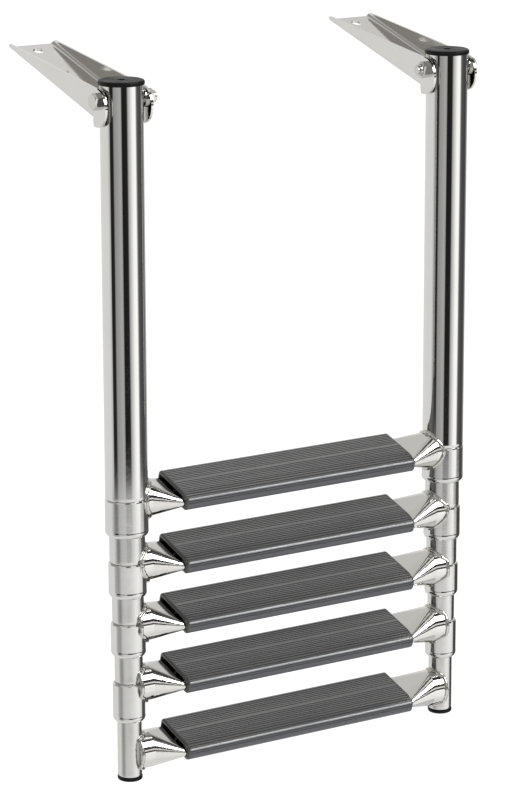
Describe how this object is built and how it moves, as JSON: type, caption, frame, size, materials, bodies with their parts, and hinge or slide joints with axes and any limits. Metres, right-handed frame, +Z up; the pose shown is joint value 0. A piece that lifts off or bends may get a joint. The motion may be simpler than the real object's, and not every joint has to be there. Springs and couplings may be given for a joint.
{
  "type": "boat boarding ladder",
  "caption": "Telescoping stainless boarding ladder with ribbed grey treads, hinged on folded platform brackets.",
  "frame": {"origin": "centre of the four platform bolt holes, on the brackets' mounting faces", "axes": "+Z up from the platform, +Y inboard over the platform, +X along the rungs to the right of a climber who faces inboard"},
  "size_m": [0.3976, 0.3441, 0.6172],
  "materials": {
    "polished_steel": "mirror-polished stainless steel",
    "satin_steel": "satin stainless steel, brushed along the tube",
    "fastener_steel": "bright machined stainless steel",
    "black_plastic": "moulded, slightly glossy",
    "tread_plastic": "moulded, satin, fine lengthwise ribs",
    "nylon": "plain moulded nylon"
  },
  "bodies": {
    "brackets": {"bracket_left": "polished_steel", "hinge_bolt_left": "fastener_steel", "hinge_nut_left": "fastener_steel", "hinge_washers_left": "fastener_steel", "bracket_right": "polished_steel", "hinge_bolt_right": "fastener_steel", "hinge_nut_right": "fastener_steel", "hinge_washers_right": "fastener_steel"},
    "stage_1": {"pivot_sleeve_left": "fastener_steel", "top_cap_left": "black_plastic", "tube_1_left": "polished_steel", "collar_1_left": "polished_steel", "guide_bush_1_left": "nylon", "pivot_sleeve_right": "fastener_steel", "top_cap_right": "black_plastic", "tube_1_right": "polished_steel", "collar_1_right": "polished_steel", "guide_bush_1_right": "nylon", "rung_1": "polished_steel", "tread_1": "tread_plastic"},
    "stage_2": {"tube_2_left": "satin_steel", "collar_2_left": "polished_steel", "guide_bush_2_left": "nylon", "end_plug_2_left": "nylon", "tube_2_right": "satin_steel", "collar_2_right": "polished_steel", "guide_bush_2_right": "nylon", "end_plug_2_right": "nylon", "rung_2": "polished_steel", "tread_2": "tread_plastic"},
    "stage_3": {"tube_3_left": "satin_steel", "collar_3_left": "polished_steel", "guide_bush_3_left": "nylon", "end_plug_3_left": "nylon", "tube_3_right": "satin_steel", "collar_3_right": "polished_steel", "guide_bush_3_right": "nylon", "end_plug_3_right": "nylon", "rung_3": "polished_steel", "tread_3": "tread_plastic"},
    "stage_4": {"tube_4_left": "satin_steel", "collar_4_left": "polished_steel", "guide_bush_4_left": "nylon", "end_plug_4_left": "nylon", "tube_4_right": "satin_steel", "collar_4_right": "polished_steel", "guide_bush_4_right": "nylon", "end_plug_4_right": "nylon", "rung_4": "polished_steel", "tread_4": "tread_plastic"},
    "stage_5": {"foot_left": "black_plastic", "tube_5_left": "satin_steel", "end_plug_5_left": "nylon", "foot_right": "black_plastic", "tube_5_right": "satin_steel", "end_plug_5_right": "nylon", "rung_5": "polished_steel", "tread_5": "tread_plastic"}
  },
  "joints": [
    {"name": "platform_hinge", "type": "hinge", "parent": "brackets", "child": "stage_1", "pos_m": [0, -0.1235, 0.0185], "axis": [-1, 0, 0], "range_deg": [0, 245]},
    {"name": "stage_2_slide", "type": "slide", "parent": "stage_1", "child": "stage_2", "axis": [0, -0.2672, -0.9636], "range_m": [0, 0.24]},
    {"name": "stage_3_slide", "type": "slide", "parent": "stage_2", "child": "stage_3", "axis": [0, -0.2672, -0.9636], "range_m": [0, 0.24]},
    {"name": "stage_4_slide", "type": "slide", "parent": "stage_3", "child": "stage_4", "axis": [0, -0.2672, -0.9636], "range_m": [0, 0.24]},
    {"name": "stage_5_slide", "type": "slide", "parent": "stage_4", "child": "stage_5", "axis": [0, -0.2672, -0.9636], "range_m": [0, 0.24]}
  ]
}
